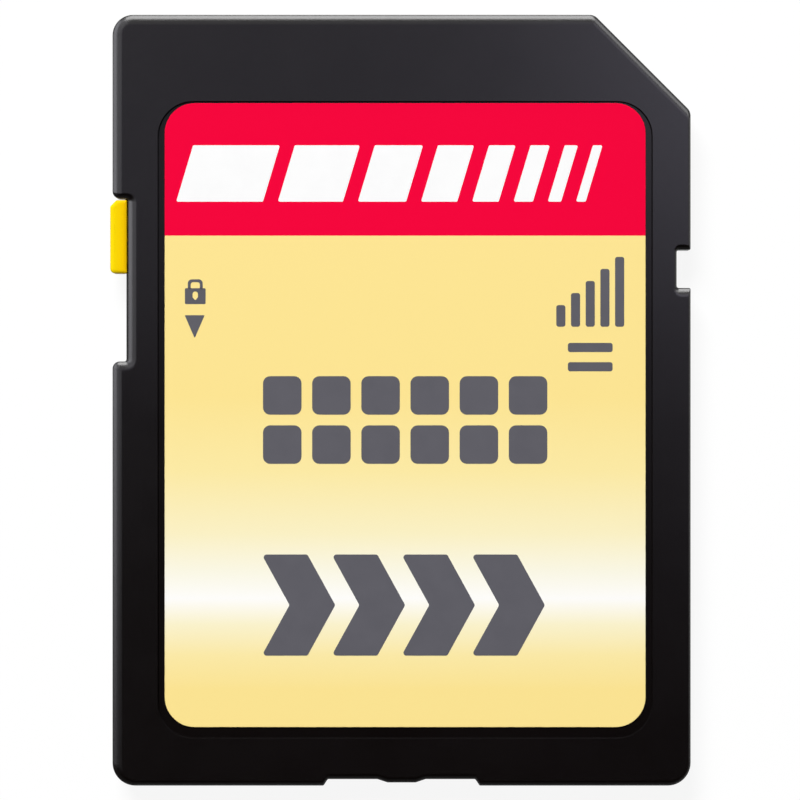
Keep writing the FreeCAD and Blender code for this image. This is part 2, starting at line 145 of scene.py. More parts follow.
def rounded(corners, insets=None):
    """Points round an anticlockwise outline, with an arc at each round corner. The insets move each
    side inwards, in the order of the corners that the sides start from."""
    fewest_steps = 3
    steps_per_mm = 9
    insets = insets or [0.0] * len(corners)
    points = []
    for i, (x, y, radius) in enumerate(corners):
        corner = Vector((x, y))
        arrive = (corner - Vector(corners[i - 1][:2])).normalized()
        leave = (Vector(corners[(i + 1) % len(corners)][:2]) - corner).normalized()
        inward = Vector((-arrive.y, arrive.x))
        next_inward = Vector((-leave.y, leave.x))
        turn = math.atan2(arrive.cross(leave), arrive.dot(leave))
        side = math.copysign(1, turn)
        arc = max(radius - side * (insets[i - 1] + insets[i]) / 2, 0.0)
        move = insets[i - 1] + arc * side
        next_move = insets[i] + arc * side
        middle = corner + Vector((
            move * next_inward.y - next_move * inward.y,
            next_move * inward.x - move * next_inward.x,
        )) / inward.cross(next_inward)
        steps = fewest_steps + round(steps_per_mm * radius) if radius else 0
        for step in range(steps + 1):
            angle = turn * step / max(steps, 1)
            spoke = Vector((
                inward.x * math.cos(angle) - inward.y * math.sin(angle),
                inward.x * math.sin(angle) + inward.y * math.cos(angle),
            ))
            points.append(middle - spoke * (arc * side))
    return points


def plain_mesh(bm):
    """Welds what coincides, and turns the sketch into a mesh."""
    weld = 0.002
    sliver = 0.001
    bmesh.ops.remove_doubles(bm, verts=bm.verts, dist=weld)
    bmesh.ops.dissolve_degenerate(bm, edges=bm.edges, dist=sliver)
    bmesh.ops.recalc_face_normals(bm, faces=bm.faces)
    mesh = bpy.data.meshes.new("shape")
    bm.to_mesh(mesh)
    bm.free()
    return mesh


def loft(loops):
    """A closed solid through outlines of equal count, each (points, height), from the lowest up."""
    bm = bmesh.new()
    rings = [[bm.verts.new((x, y, height)) for x, y in points] for points, height in loops]
    for lower, upper in zip(rings, rings[1:]):
        for i in range(len(lower)):
            bm.faces.new((lower[i - 1], lower[i], upper[i], upper[i - 1]))
    bm.faces.new(reversed(rings[0]))
    bm.faces.new(rings[-1])
    return plain_mesh(bm)


def prism(corners, low, high):
    """An upright solid over an outline, between two heights."""
    return loft([(rounded(corners), low), (rounded(corners), high)])


def block(low, high):
    """A square-edged box between two corners."""
    return prism(box_outline(low[0], low[1], high[0], high[1], 0), low[2], high[2])


def rolled_edge(corners, edge, run, depth, steps=8, turn=90):
    """Outlines round a curved edge at a height, which falls away upwards, or down if negative, and
    turns from level by this many degrees. The run is one for all sides, or a list of theirs."""
    runs = run if isinstance(run, list) else [run] * len(corners)
    last = math.radians(turn)
    loops = []
    for step in range(steps + 1):
        angle = last * step / steps
        share = 1 - math.sin(angle) / math.sin(last)
        fall = depth * (1 - math.cos(angle)) / (1 - math.cos(last))
        loops.append((rounded(corners, [share * side_run for side_run in runs]), edge + fall))
    return loops if depth > 0 else loops[::-1]


def evaluated(thing):
    """What an object's modifiers make of its mesh."""
    graph = bpy.context.evaluated_depsgraph_get()
    mesh = bpy.data.meshes.new_from_object(thing.evaluated_get(graph), depsgraph=graph)
    bpy.data.objects.remove(thing)
    return mesh


def on_bench(data):
    """An object to work on, which evaluated() takes away again."""
    thing = bpy.data.objects.new("bench", data)
    bpy.context.scene.collection.objects.link(thing)
    return thing


def combine(mesh, operation, *tools):
    """The mesh with each tool mesh joined to it (UNION) or cut away from it (DIFFERENCE)."""
    for tool in tools:
        work = on_bench(mesh)
        cutter = on_bench(tool)
        step = work.modifiers.new("combine", "BOOLEAN")
        step.operation = operation
        step.solver = "EXACT"
        step.object = cutter
        mesh = evaluated(work)
        bpy.data.objects.remove(cutter)
    return mesh


def soften(mesh, edge):
    """Breaks every sharp edge by a small radius and shades arcs smooth and flats flat."""
    flat = math.radians(0.5)
    sharp = math.radians(30)
    crease = math.radians(40)
    bm = bmesh.new()
    bm.from_mesh(mesh)
    bmesh.ops.dissolve_limit(bm, angle_limit=flat, verts=bm.verts, edges=bm.edges, delimit=set())
    work = on_bench(plain_mesh(bm))
    bevel = work.modifiers.new("broken edges", "BEVEL")
    bevel.width = edge
    bevel.segments = 2
    bevel.limit_method = "ANGLE"
    bevel.angle_limit = sharp
    bevel.use_clamp_overlap = False
    mesh = evaluated(work)
    mesh.shade_smooth()
    mesh.set_sharp_from_angle(angle=crease)
    work = on_bench(mesh)
    weighted = work.modifiers.new("flat flats", "WEIGHTED_NORMAL")
    weighted.keep_sharp = True
    weighted.weight = 100
    return evaluated(work)


def new_piece(name, mesh, material, slot, *nodes, body="card"):
    """Takes a finished mesh from millimetres to metres. Where it stands for CAD nodes, it is kept
    within their box."""
    if nodes:
        lows, highs = zip(*[box_mm(node) for node in nodes])
        lowest = [min(values) for values in zip(*lows)]
        highest = [max(values) for values in zip(*highs)]
        for vertex in mesh.vertices:
            capped = map(min, highest, vertex.co)
            vertex.co = Vector(map(max, lowest, capped))
    mesh.transform(Matrix.Scale(MM, 4))
    mesh.materials.clear()
    mesh.materials.append(material)
    piece = bpy.data.objects.new(name, mesh)
    bpy.context.scene.collection.objects.link(piece)
    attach(piece, body)
    if nodes:
        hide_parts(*nodes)


class Wire:
    """An output in a node tree. Sums on it add Math nodes, and node() adds any other node."""

    def __init__(self, tree, socket=None):
        self.tree = tree
        self.socket = socket

    def node(self, kind, settings=None, sockets=None, output=0):
        """A new node's output. Its settings come first, then the values or links of its sockets."""
        made = self.tree.nodes.new(kind)
        for name, value in (settings or {}).items():
            if name == "stops":
                fill_ramp(made.color_ramp, value)
            else:
                setattr(made, name, value)
        for name, value in (sockets or {}).items():
            for end in value if isinstance(value, list) else [value]:
                if isinstance(end, Wire):
                    self.tree.links.new(end.socket, made.inputs[name])
                else:
                    made.inputs[name].default_value = end
        return Wire(self.tree, made.outputs[output] if made.outputs else None)

    def math(self, operation, *values):
        return self.node("ShaderNodeMath", {"operation": operation}, dict(enumerate(values)))

    def __add__(self, other):
        return self.math("ADD", self, other)

    def __radd__(self, other):
        return self.math("ADD", other, self)

    def __sub__(self, other):
        return self.math("SUBTRACT", self, other)

    def __rsub__(self, other):
        return self.math("SUBTRACT", other, self)

    def __mul__(self, other):
        return self.math("MULTIPLY", self, other)

    def __rmul__(self, other):
        return self.math("MULTIPLY", other, self)

    def __truediv__(self, other):
        return self.math("DIVIDE", self, other)

    def __rtruediv__(self, other):
        return self.math("DIVIDE", other, self)

    def __abs__(self):
        return self.math("ABSOLUTE", self)

    def __gt__(self, other):
        return self.math("GREATER_THAN", self, other)

    def lesser(self, other):
        return self.math("MINIMUM", self, other)

    def greater(self, other):
        return self.math("MAXIMUM", self, other)

    def clip(self):
        return self.node("ShaderNodeClamp", None, {"Value": self})

    def mix(self, share, first, second, blend="MIX"):
        """One colour turning into another. The node's colours share their names, so go by number."""
        settings = {"data_type": "RGBA", "blend_type": blend}
        return self.node("ShaderNodeMix", settings, {0: share, 6: first, 7: second}, 2)

    def place(self, axis):
        """How far along one axis of the card, in millimetres."""
        spot = self.node("ShaderNodeTexCoord", output="Object")
        return self.node("ShaderNodeSeparateXYZ", None, {"Vector": spot}, axis) / MM

    def noise(self, size, detail=2.0, stretch=(1, 1, 1)):
        """Cloudy noise whose lumps are about this many millimetres across, or longer by a stretch."""
        spot = self.node("ShaderNodeTexCoord", output="Object")
        scale = tuple(1 / (size * MM * longer) for longer in stretch)
        spot = self.node("ShaderNodeMapping", None, {"Vector": spot, "Scale": scale})
        return self.node("ShaderNodeTexNoise", None, {"Vector": spot, "Scale": 1.0, "Detail": detail})

    def bump(self, height, depth, strength):
        """A surface normal from a height that spans this many millimetres."""
        sockets = {"Height": height, "Distance": depth * MM, "Strength": strength}
        return self.node("ShaderNodeBump", None, sockets)

    def surface(self, **sockets):
        """The shader of a solid surface, with its sockets by name."""
        named = {name.replace("_", " "): value for name, value in sockets.items()}
        return self.node("ShaderNodeBsdfPrincipled", None, named)


def fill_ramp(ramp, stops):
    """Gives a colour ramp its stops, each (position, colour), in order."""
    while len(ramp.elements) < len(stops):
        ramp.elements.new(1.0)
    for element, (position, colour) in zip(ramp.elements, stops):
        element.position = position
        element.color = colour


def new_finish(name, build, *values):
    """A material whose surface comes from a function of its node tree."""
    material = bpy.data.materials.new(name)
    material.use_nodes = True
    tree = material.node_tree
    tree.nodes.clear()
    wire = Wire(tree)
    wire.node("ShaderNodeOutputMaterial", None, {"Surface": build(wire, *values)})
    return material


def grained_plastic(wire, shine):
    """Black ABS: spark-eroded grain, a slightly cloudy gloss and faint rubbed patches."""
    dark = (0.0019, 0.0010, 0.0008, 1)
    pale = (0.0027, 0.0016, 0.0014, 1)
    grain = wire.noise(size=0.05)
    cloud = wire.noise(size=2.5, detail=4.0)
    rubbed = wire.noise(size=0.6, detail=6.0)
    return wire.surface(
        Base_Color=wire.mix(cloud, dark, pale),
        Roughness=0.2 + 0.04 * cloud + 0.02 * rubbed,
        Specular_IOR_Level=shine,
        Normal=wire.bump(grain, depth=0.003, strength=0.4),
    )


cover_shine = 0.65
cover_plastic = new_finish("cover_plastic", grained_plastic, cover_shine)
pad_names = [f"contact_pad_{number}" for number in range(1, 10)]
pads = [box_mm(name) for name in pad_names]


def back_panel():
    """The raised middle of the back, rolled at its edge and bevelled where it meets a socket."""
    rail_width = 0.75
    panel_radius = 0.55
    panel_edge = 0.15
    ramp = 0.35
    outline = [
        (left + rail_width, tail, panel_radius),
        *gate_corners(),
        (right - rail_width, tail, panel_radius),
        (right - rail_width, nose - corner_cut + rail_width, notch_radius),
        (right - corner_cut, nose, cut_radius),
        (left + rail_width, nose, panel_radius),
    ]
    edge = rolled_edge(outline, 0.0, panel_edge, panel_edge)
    panel = loft([*edge, (rounded(outline), seam - slot_half)])
    sill = box_outline(left, nose - ramp - past, right, nose + 2 * past, 0)
    lintel = box_outline(left, nose + past, right, nose + 2 * past, 0)
    wedge = loft([(rounded(sill), -past), (rounded(lintel), ramp + past)])
    return combine(panel, "DIFFERENCE", wedge)


def rear_cover():
    """Rails and back panel in one, hollowed for the board and open over the contacts."""
    window_gap = 0.15
    window_tail = 0.3
    window_web = 0.7
    board_ledge = 0.7
    rear_wall = 0.35
    rails = prism(card_outline(rear_lock_depth), rail_plane, seam)
    windows = [
        block(
            (low.x - window_gap, low.y - window_tail, -past),
            (high.x + window_gap, nose + past, board_seat),
        )
        for low, high in pads
    ]
    ledge = side_wall + board_ledge
    relief_end = pads[-1][0].y - window_tail - window_web
    relief = block((left + ledge, tail + ledge, rear_wall), (right - ledge, relief_end, seam))
    cavity = prism(cavity_outline(), board_seat, seam + past)
    slot = block(
        (left - past, lock_low, seam - slot_half),
        (left + side_wall + past, lock_high, seam + past),
    )
    shell = combine(rails, "UNION", back_panel())
    return combine(shell, "DIFFERENCE", *windows, relief, cavity, slot)


rear = soften(rear_cover(), edge=0.03)
new_piece("rear_moulding", rear, cover_plastic, "cover_plastic", "rear_cover")


# Contacts: nine lands of copper under hard gold, etched on the underside of the board and bared by
# the rear cover's windows. Two of them are narrow, and the ninth lies back beside the cut corner.

def plate_tree():
    """Flat plates with round corners, one at each point of a mesh that gives its width and length.
    Slant leans the plates over, and Arrow bends them forward at the row's middle line."""
    corner_steps = 5
    tree = bpy.data.node_groups.new("plates", "GeometryNodeTree")
    kinds = {
        "Places": "Geometry",
        "Corner radius": "Float",
        "Slant": "Float",
        "Arrow": "Float",
        "Middle": "Float",
        "Base": "Float",
        "Thickness": "Float",
        "Finish": "Material",
    }
    for name, kind in kinds.items():
        tree.interface.new_socket(name, in_out="INPUT", socket_type="NodeSocket" + kind)
    tree.interface.new_socket("Plates", in_out="OUTPUT", socket_type="NodeSocketGeometry")
    entry = tree.nodes.new("NodeGroupInput")
    given = {name: Wire(tree, entry.outputs[name]) for name in kinds}
    wire = Wire(tree)

    width = wire.node("GeometryNodeInputNamedAttribute", {"data_type": "FLOAT"}, {"Name": "width"})
    length = wire.node("GeometryNodeInputNamedAttribute", {"data_type": "FLOAT"}, {"Name": "length"})
    size = wire.node("ShaderNodeCombineXYZ", None, {"X": width, "Y": length, "Z": 1.0})
    square = wire.node("GeometryNodeCurvePrimitiveQuadrilateral", None, {"Width": 1.0, "Height": 1.0})
    sockets = {"Points": given["Places"], "Instance": square, "Scale": size}
    frames = wire.node("GeometryNodeInstanceOnPoints", None, sockets)
    frames = wire.node("GeometryNodeRealizeInstances", None, {"Geometry": frames})
    frames = wire.node("GeometryNodeSubdivideCurve", None, {"Curve": frames, "Cuts": 1})
    spot = wire.node("GeometryNodeInputPosition")
    off_middle = wire.node("ShaderNodeSeparateXYZ", None, {"Vector": spot}, "Y") - given["Middle"]
    lean = off_middle * given["Slant"] - abs(off_middle) * given["Arrow"]
    shift = wire.node("ShaderNodeCombineXYZ", None, {"X": lean})
    frames = wire.node("GeometryNodeSetPosition", None, {"Geometry": frames, "Offset": shift})
    sockets = {
        "Curve": frames,
        "Count": corner_steps,
        "Radius": given["Corner radius"],
        "Limit Radius": True,
    }
    frames = wire.node("GeometryNodeFilletCurve", {"mode": "POLY"}, sockets)

    sheet = wire.node("GeometryNodeFillCurve", {"mode": "NGONS"}, {"Curve": frames})
    raise_by = wire.node("ShaderNodeCombineXYZ", None, {"Z": given["Base"]})
    sheet = wire.node("GeometryNodeSetPosition", None, {"Geometry": sheet, "Offset": raise_by})
    thickness = wire.node("ShaderNodeCombineXYZ", None, {"Z": given["Thickness"]})
    sockets = {"Mesh": sheet, "Offset": thickness, "Offset Scale": 1.0, "Individual": False}
    upper = wire.node("GeometryNodeExtrudeMesh", {"mode": "FACES"}, sockets)
    plates = wire.node("GeometryNodeJoinGeometry", None, {"Geometry": [upper, sheet]})
    plates = wire.node("GeometryNodeRealizeInstances", None, {"Geometry": plates})
    sockets = {"Geometry": plates, "Material": given["Finish"]}
    plates = wire.node("GeometryNodeSetMaterial", None, sockets)
    wire.node("NodeGroupOutput", None, {"Plates": plates})
    return tree


plates_from_places = plate_tree()


def plates(boxes, **inputs):
    """One mesh of plates, each over a box (x0, y0, x1, y1), with the tree's inputs by name."""
    mesh = bpy.data.meshes.new("places")
    mesh.from_pydata([((x0 + x1) / 2, (y0 + y1) / 2, 0) for x0, y0, x1, y1 in boxes], [], [])
    sizes = {
        "width": [x1 - x0 for x0, _, x1, _ in boxes],
        "length": [y1 - y0 for _, y0, _, y1 in boxes],
    }
    for name, values in sizes.items():
        mesh.attributes.new(name, "FLOAT", "POINT").data.foreach_set("value", values)
    work = on_bench(mesh)
    maker = work.modifiers.new("plates", "NODES")
    maker.node_group = plates_from_places
    for socket in plates_from_places.interface.items_tree:
        word = socket.name.replace(" ", "_")
        if word in inputs:
            maker[socket.identifier] = inputs[word]
    bm = bmesh.new()
    bm.from_mesh(evaluated(work))
    return plain_mesh(bm)


def paint(red, green, blue):
    """A colour as a screen shows it, 0 to 255, in the renderer's linear terms."""
    shares = [level / 255 for level in (red, green, blue)]
    return (*[s / 12.92 if s <= 0.04045 else ((s + 0.055) / 1.055) ** 2.4 for s in shares], 1.0)


def wiped_gold(wire):
    """Hard gold, drawn lengthwise by the socket's springs."""
    streaks = wire.noise(size=0.04, detail=3.0, stretch=(1, 40, 1))
    tarnish = wire.noise(size=0.7, detail=4.0)
    return wire.surface(
        Base_Color=wire.mix(tarnish, paint(222, 176, 92), paint(240, 203, 122)),
        Metallic=1.0,
        Roughness=0.28 + 0.12 * streaks + 0.05 * tarnish,
        Normal=wire.bump(streaks, depth=0.003, strength=0.5),
    )


contact_gold = new_finish("contact_gold", wiped_gold)
lands = plates(
    [(low.x, low.y, high.x, high.y) for low, high in pads],
    Corner_radius=0.2,
    Base=rail_plane,
    Thickness=board_seat - rail_plane,
    Finish=contact_gold,
)
new_piece("contact_lands", soften(lands, edge=0.008), contact_gold, "contact_gold", *pad_names)


# Circuit board and chips: glass laminate under green solder mask, with two black epoxy packages and
# rows of small ceramic parts soldered to it. They are the solids as drawn, and get their finishes
# here: the covers close them in, and only the board's underside shows between the contacts.

def finish_node(node, material):
    """Gives a solid that stays as drawn its finish."""
    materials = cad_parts[node].data.materials
    materials.clear()
    materials.append(material)


def solder_mask(wire):
    """Green lacquer over glass cloth."""
    cloth = wire.noise(size=0.15, stretch=(1, 3, 1)) + wire.noise(size=0.15, stretch=(3, 1, 1))
    cloud = wire.noise(size=1.5)
    return wire.surface(
        Base_Color=wire.mix(cloud, paint(16, 58, 36), paint(24, 76, 48)),
        Roughness=0.28 + 0.12 * cloud,
        Normal=wire.bump(cloth, depth=0.003, strength=0.4),
    )


def body_and_tin(wire, node, axis, body_half, dark, pale):
    """A moulded or fired body, with bright tin further than its half from the node's middle."""
    low, high = box_mm(node)
    index = "XYZ".index(axis)
    middle = (low[index] + high[index]) / 2
    tin = abs(wire.place(axis) - middle) > body_half
    fleck = wire.noise(size=0.08, detail=3.0)
    body = wire.mix(fleck, dark, pale)
    plated = wire.mix(fleck, paint(176, 178, 182), paint(206, 207, 210))
    return wire.surface(
        Base_Color=wire.mix(tin, body, plated),
        Metallic=tin,
        Roughness=0.5 + 0.14 * fleck - 0.22 * tin,
        Normal=wire.bump(fleck, depth=0.004, strength=0.5),
    )


black_epoxy = paint(26, 26, 28), paint(44, 44, 46)
brown_ceramic = paint(120, 92, 66), paint(148, 117, 88)
black_film = paint(22, 24, 30), paint(40, 42, 50)
flash_low, flash_high = box_mm("flash_chip")
lead_reach = 0.8
mould_skin = 0.005
flash_half = (flash_high.y - flash_low.y) / 2 - lead_reach + mould_skin
controller_half = 3.1  # past its edge, because its lands are underneath
ceramic_half = 0.285
flash = new_finish("flash_epoxy", body_and_tin, "flash_chip", "Y", flash_half, *black_epoxy)
controller = new_finish(
    "controller_epoxy", body_and_tin, "controller_chip", "X", controller_half, *black_epoxy
)
capacitor = new_finish("capacitor_ceramic", body_and_tin, "capacitor_1", "X", ceramic_half, *brown_ceramic)
resistor = new_finish("resistor_ceramic", body_and_tin, "resistor_1", "Y", ceramic_half, *black_film)
finish_node("circuit_board", new_finish("board_laminate", solder_mask))
finish_node("flash_chip", flash)
finish_node("controller_chip", controller)
for number in range(1, 5):
    finish_node(f"capacitor_{number}", capacitor)
    finish_node(f"resistor_{number}", resistor)


# Write lock slider: a yellow acetal knob in the left notch. Its stem passes through a slot between
# the two covers, and the wider foot behind the wall keeps it there while it slides.

front_lock_depth = 0.64
front_wall = 0.4


def lock_slider():
    """The knob's lower and upper halves, the stem in the slot and the foot behind the wall."""
    gap = 0.04
    knob_radius = 0.2
    inner_radius = 0.05
    thumb_cut = 0.26
    thumb_radius = 0.1
    sole_edge = 0.08
    crown_run = 0.2
    crown_drop = 0.1
    knob_lap = 0.2
    foot_lap = 0.1
    foot_drop = 0.1
    (knob, low_end, low), (foot_inner, high_end, high) = box_mm("lock_slider")
    rear_stop = left + rear_lock_depth - gap
    front_stop = left + front_lock_depth - gap
    foot_outer = left + side_wall + gap
    stem_low = seam - slot_half + gap
    stem_high = seam + slot_half - gap
    foot_low = seam - slot_half - foot_drop
    foot_high = label_face - front_wall - gap

    def knob_outline(inner):
        return [
            (knob, low_end, knob_radius),
            (inner, low_end, inner_radius),
            (inner, high_end, inner_radius),
            (knob + thumb_cut, high_end, thumb_radius),
            (knob, high_end - thumb_cut, thumb_radius),
        ]

    lower = knob_outline(rear_stop)
    upper = knob_outline(front_stop)
    return combine(
        loft([*rolled_edge(lower, low, sole_edge, sole_edge), (rounded(lower), stem_high)]),
        "UNION",
        loft([(rounded(upper), stem_low), *rolled_edge(upper, high, crown_run, -crown_drop)]),
        block((rear_stop - knob_lap, low_end, stem_low), (foot_inner - foot_lap, high_end, stem_high)),
        block((foot_outer, low_end, foot_low), (foot_inner, high_end, foot_high)),
    )


def yellow_acetal(wire):
    """Through-coloured yellow plastic with a waxy, streaked gloss, and painted shade that deepens it to
    orange towards the wall.
    """
    flow = wire.noise(size=0.5, detail=3.0, stretch=(1, 4, 1))
    grain = wire.noise(size=0.05)
    # painted shade: the yellow turns deeper orange towards the notch wall, as if the wall shaded the knob,
    # broken a little by the flow streaks
    painted_wall_shade = ((wire.place("X") - left) / front_lock_depth + 0.1 * flow).clip()
    return wire.surface(
        Base_Color=wire.mix(painted_wall_shade, paint(248, 217, 0), paint(243, 192, 0)),
        Roughness=0.36 + 0.1 * flow,
        Specular_IOR_Level=0.06,
        Normal=wire.bump(grain, depth=0.003, strength=0.4),
    )


slider_plastic = new_finish("slider_plastic", yellow_acetal)
slider = soften(lock_slider(), edge=0.02)
new_piece("lock_knob", slider, slider_plastic, "slider_plastic", "lock_slider", body="lock_slider")


# Front cover: the label face of the card, in the same black ABS. Its rolled edge is widest at the
# nose and on the slider's side, and the recess for the label is moulded duller than the face. Four
# posts inside press the board down, and the rim is welded to the rear cover.

label_low, label_high = box_mm("front_label")
recess_floor = label_low.z
recess_side_gap = 0.27
recess_tail_gap = 0.45
recess_nose_gap = 0.06
recess_low = label_low - Vector((recess_side_gap, recess_tail_gap, 0))
recess_high = label_high + Vector((recess_side_gap, recess_nose_gap, 0))


def edge_runs(outline, narrow, wide):
    """How far in each side's rolled edge begins: wide where it faces the nose or the slider's side,
    less wide where it faces the tail."""
    tail_share = 0.4
    least_to_tail = 0.3
    runs = []
    for i, (x, y, _) in enumerate(outline):
        along = (Vector(outline[(i + 1) % len(outline)][:2]) - Vector((x, y))).normalized()
        to_nose = -along.x
        to_slider = -along.y
        to_tail = along.x
        share = max(to_slider, to_nose, 0) if to_tail < least_to_tail else tail_share * to_tail
        runs.append(narrow + (wide - narrow) * share)
    return runs


def front_cover():
    """The face with its rolled edge and recess, hollow behind, with the posts standing in it."""
    narrow_run = 0.12
    wide_run = 0.42
    edge_drop = 0.12
    edge_turn = 32
    recess_radius = 1.45
    post_radius = 0.4
    post_inset = 2.0
    nose_post_inset = 1.9
    cut_post_inset = 5.0
    post_root = 0.1
    ceiling = label_face - front_wall
    board_top = box_mm("circuit_board")[1].z
    outline = card_outline(front_lock_depth)
    runs = edge_runs(outline, narrow_run, wide_run)
    edge = rolled_edge(outline, label_face, runs, -edge_drop, turn=edge_turn)
    shell = loft([(rounded(outline), seam), *edge])
    recess_outline = box_outline(*recess_low.xy, *recess_high.xy, recess_radius)
    recess = prism(recess_outline, recess_floor, label_face + past)
    cavity = prism(cavity_outline(), seam - past, ceiling)
    slot = block(
        (left - past, lock_low, seam - past),
        (left + side_wall + past, lock_high, seam + slot_half),
    )
    shell = combine(shell, "DIFFERENCE", recess, cavity, slot)
    posts = [
        (left + post_inset, tail + post_inset),
        (right - post_inset, tail + post_inset),
        (left + post_inset, nose - nose_post_inset),
        (right - cut_post_inset, nose - nose_post_inset),
    ]
    half = post_radius
    for x, y in posts:
        post_outline = box_outline(x - half, y - half, x + half, y + half, post_radius)
        shell = combine(shell, "UNION", prism(post_outline, board_top, ceiling + post_root))
    return shell


front = soften(front_cover(), edge=0.025)
new_piece("front_moulding", front, cover_plastic, "cover_plastic", "front_cover")
ground_shine = 0.42
wall_shine = 0.1
front.materials.append(new_finish("recess_ground", grained_plastic, ground_shine))
front.materials.append(new_finish("recess_wall", grained_plastic, wall_shine))
rim = 0.03
hair = 0.001
for face in front.polygons:
    x, y, z = face.center / MM
    across = recess_low.x - rim < x < recess_high.x + rim
    along = recess_low.y - rim < y < recess_high.y + rim
    if across and along and abs(z - recess_floor) < hair:
        face.material_index = 1
    elif across and along and recess_floor < z < label_face - 2 * hair:
        face.material_index = 2


# Label: a die-cut sheet of coated paper, stuck to the floor of the recess. The top band is printed
# red, and the rest a gold tint that fades to nearly white across its lower third and back again.

label_top = label_high.z
label_length = label_high.y - label_low.y
band_edge = 6.83


def label_sheet():
    """The sheet on the recess's floor, eased a little along its cut edge."""
    corner_radius = 1.25
    cut_edge = 0.02
    outline = box_outline(*label_low.xy, *label_high.xy, corner_radius)
    edge = rolled_edge(outline, label_top, cut_edge, -cut_edge, steps=3)
    return loft([(rounded(outline), recess_floor), *edge])


def printed_paper(wire):
    """Coated paper: a red field above a gold tint, with a fine tooth and faintly uneven ink."""
    red = paint(242, 0, 58)
    gold = paint(251, 227, 146)
    tint = [
        (0.0, gold),
        (0.06, gold),
        (0.115, paint(251, 233, 166)),
        (0.165, paint(250, 242, 204)),
        (0.206, paint(254, 253, 250)),
        (0.25, paint(250, 247, 228)),
        (0.31, paint(250, 240, 196)),
        (0.41, paint(251, 233, 164)),
        (0.53, gold),
    ]
    along = (wire.place("Y") - label_low.y) / label_length
    field = wire.node("ShaderNodeValToRGB", {"stops": tint}, {"Fac": along})
    in_band = wire.place("Y") > band_edge
    printed = wire.mix(in_band, field, red)
    tooth = wire.noise(size=0.06, detail=3.0)
    uneven = wire.noise(size=1.2, detail=5.0)
    return wire.surface(
        Base_Color=wire.mix(0.03 * uneven, printed, paint(235, 222, 214), "MULTIPLY"),
        Roughness=0.46 + 0.1 * tooth + 0.06 * uneven,
        Specular_IOR_Level=0.04,
        Normal=wire.bump(tooth, depth=0.002, strength=0.3),
    )


label_print = new_finish("label_print", printed_paper)
sheet = soften(label_sheet(), edge=0.004)
new_piece("label_sheet", sheet, label_print, "label_print", "front_label")


# Print: solid films of screen ink a few microns thick. White slanted stripes cross the red band. On
# the gold, in grey, are the lock sign beside the slider, a row of level bars across from it, two
# rows of memory cells and a row of arrows.

ink_sink = 0.002
ink_depth = 0.006
ink_base = label_top - ink_sink
label_middle = (label_low.x + label_high.x) / 2
stripe_low = 8.24
stripe_high = 10.58
arrow_low = -10.6
arrow_high = -6.4


def screen_ink(wire, dark, pale):
    """Opaque ink, faintly mottled where the mesh laid it down."""
    mesh_mark = wire.noise(size=0.09, detail=3.0)
    cloud = wire.noise(size=0.9, detail=4.0)
    return wire.surface(
        Base_Color=wire.mix(cloud, dark, pale),
        Roughness=0.42 + 0.12 * mesh_mark,
        Specular_IOR_Level=0.15,
        Normal=wire.bump(mesh_mark, depth=0.002, strength=0.4),
    )


white_ink = new_finish("white_ink", screen_ink, paint(246, 246, 246), paint(252, 252, 252))
grey_ink = new_finish("grey_ink", screen_ink, paint(88, 87, 94), paint(96, 95, 102))


def stripe_boxes():
    """Stripes that grow narrower to the right, with even gaps between them."""
    widths = (3.6, 2.7, 2.0, 1.5, 1.1, 0.8, 0.55, 0.4)
    gap = 0.62
    start = -9.0
    boxes = []
    for width in widths:
        boxes.append((start, stripe_low, start + width, stripe_high))
        start += width + gap
    return boxes


def cell_boxes():
    """Two rows of square cells, centred on the label."""
    size = 1.6
    pitch = 2.04
    upper_row = -0.6
    columns = 6
    first = label_middle - size / 2 - pitch * (columns - 1) / 2
    starts = [first + pitch * column for column in range(columns)]
    return [(x, y, x + size, y + size) for y in (upper_row, upper_row - pitch) for x in starts]


def arrow_boxes():
    """Upright bars, set a little to the right because their ends bend back to the left."""
    width = 1.9
    pitch = 2.9
    set_right = 0.5
    count = 4
    first = label_middle - width / 2 - pitch * (count - 1) / 2 + set_right
    starts = [first + pitch * i for i in range(count)]
    return [(x, arrow_low, x + width, arrow_high) for x in starts]


def level_boxes():
    """Five upright bars, each taller than the one before, over two short level ones."""
    count = 5
    first = 6.42
    base = 3.05
    thick = 0.38
    pitch = 0.61
    shortest = 0.9
    growth = 0.5
    level_start = 6.9
    level_end = 8.76
    level_rows = (2.0, 1.2)
    boxes = []
    for i in range(count):
        start = first + pitch * i
        boxes.append((start, base, start + thick, base + shortest + growth * i))
    for low in level_rows:
        boxes.append((level_start, low, level_end, low + thick))
    return boxes


film = {"Base": ink_base, "Thickness": ink_depth}
leaning = {"Slant": 0.3, "Middle": (stripe_low + stripe_high) / 2}
bent = {"Arrow": 0.55, "Middle": (arrow_low + arrow_high) / 2}
stripes = plates(stripe_boxes(), Corner_radius=0.06, Finish=white_ink, **leaning, **film)
cells = plates(cell_boxes(), Corner_radius=0.3, Finish=grey_ink, **film)
arrows = plates(arrow_boxes(), Corner_radius=0.12, Finish=grey_ink, **bent, **film)
levels = plates(level_boxes(), Corner_radius=0.1, Finish=grey_ink, **film)
new_piece("white_stripes", stripes, white_ink, "label_print")
new_piece("memory_cells", cells, grey_ink, "label_print")
new_piece("grey_arrows", arrows, grey_ink, "label_print")
new_piece("level_bars", levels, grey_ink, "label_print")


